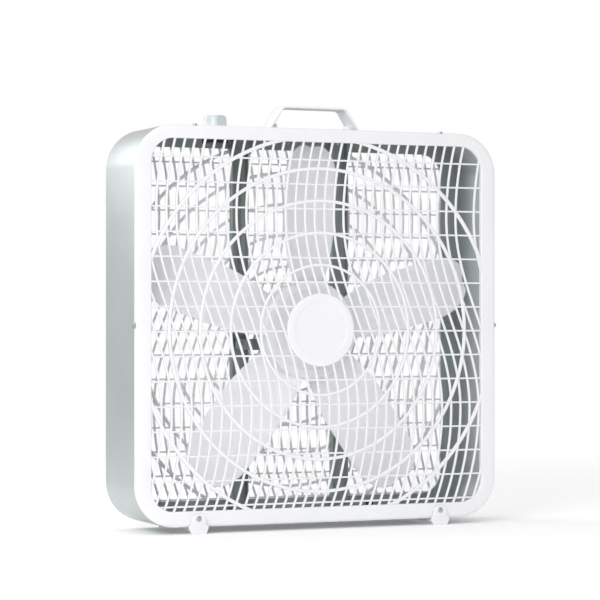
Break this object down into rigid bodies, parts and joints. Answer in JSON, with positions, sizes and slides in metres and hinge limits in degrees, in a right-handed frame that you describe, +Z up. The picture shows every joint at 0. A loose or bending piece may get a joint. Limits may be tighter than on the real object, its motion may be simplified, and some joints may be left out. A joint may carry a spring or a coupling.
{
  "type": "box fan",
  "caption": "Square box fan in a sheet-steel housing, with moulded lattice grilles, a bladed rotor on an electric motor, a speed knob, a carrying handle and feet.",
  "frame": {"origin": "on the floor plane, under the middle of the fan", "axes": "+Z up, -Y out of the front grille, +X to the right as seen from the front"},
  "size_m": [0.5246, 0.1246, 0.5608],
  "materials": {
    "painted_steel": "light grey painted sheet steel",
    "white_plastic": "semi-gloss white moulded plastic",
    "blade_plastic": "smooth white moulded plastic",
    "strut_steel": "dark grey coated sheet steel",
    "knob_plastic": "glossy pale grey-blue plastic",
    "zinc_steel": "bright zinc-plated steel",
    "motor_steel": "dull pressed and laminated steel",
    "copper_winding": "varnished copper wire",
    "black_plastic": "matt black plastic",
    "sintered_bronze": "oiled sintered bronze"
  },
  "bodies": {
    "frame": {"housing": "painted_steel", "front_grille": "white_plastic", "rear_grille": "white_plastic", "foot_left": "white_plastic", "foot_right": "white_plastic", "carry_handle": "white_plastic", "strut_left": "strut_steel", "strut_right": "strut_steel", "motor_shell_front": "motor_steel", "motor_shell_rear": "motor_steel", "stator_core": "motor_steel", "winding_front": "copper_winding", "winding_rear": "copper_winding", "bearing_front": "sintered_bronze", "bearing_rear": "sintered_bronze", "rotary_switch": "black_plastic", "dial_plate": "white_plastic", "switch_nut": "zinc_steel", "run_capacitor": "motor_steel", "switch_lead": "black_plastic", "motor_lead": "black_plastic", "cord_gland": "black_plastic", "front_screw_top_left": "zinc_steel", "front_screw_top_right": "zinc_steel", "front_screw_left": "zinc_steel", "front_screw_right": "zinc_steel", "rear_screw_top_left": "zinc_steel", "rear_screw_top_right": "zinc_steel", "rear_screw_left": "zinc_steel", "rear_screw_right": "zinc_steel", "rear_screw_top": "zinc_steel", "rear_screw_bottom": "zinc_steel", "strut_screw_top_left": "zinc_steel", "strut_screw_top_right": "zinc_steel", "strut_screw_bottom_left": "zinc_steel", "strut_screw_bottom_right": "zinc_steel", "ear_screw_upper_left": "zinc_steel", "ear_screw_upper_right": "zinc_steel", "ear_screw_lower_left": "zinc_steel", "ear_screw_lower_right": "zinc_steel", "motor_bolt_1": "zinc_steel", "motor_bolt_2": "zinc_steel", "motor_bolt_3": "zinc_steel", "motor_bolt_4": "zinc_steel", "foot_screw_front_left": "zinc_steel", "foot_screw_front_right": "zinc_steel", "foot_screw_rear_left": "zinc_steel", "foot_screw_rear_right": "zinc_steel", "handle_screw_left": "zinc_steel", "handle_screw_right": "zinc_steel"},
    "fan_rotor": {"motor_shaft": "zinc_steel", "rotor_core": "motor_steel", "fan_blade": "blade_plastic", "blade_clip": "zinc_steel"},
    "switch_knob": {"speed_knob": "knob_plastic", "switch_spindle": "zinc_steel"}
  },
  "joints": [
    {"name": "fan_spin", "type": "hinge", "parent": "frame", "child": "fan_rotor", "pos_m": [0, 0, 0.2635], "axis": [0, 1, 0], "continuous": true},
    {"name": "knob_turn", "type": "hinge", "parent": "frame", "child": "switch_knob", "pos_m": [-0.128, 0, 0.53], "axis": [0, 0, 1], "range_deg": [0, 135]}
  ]
}
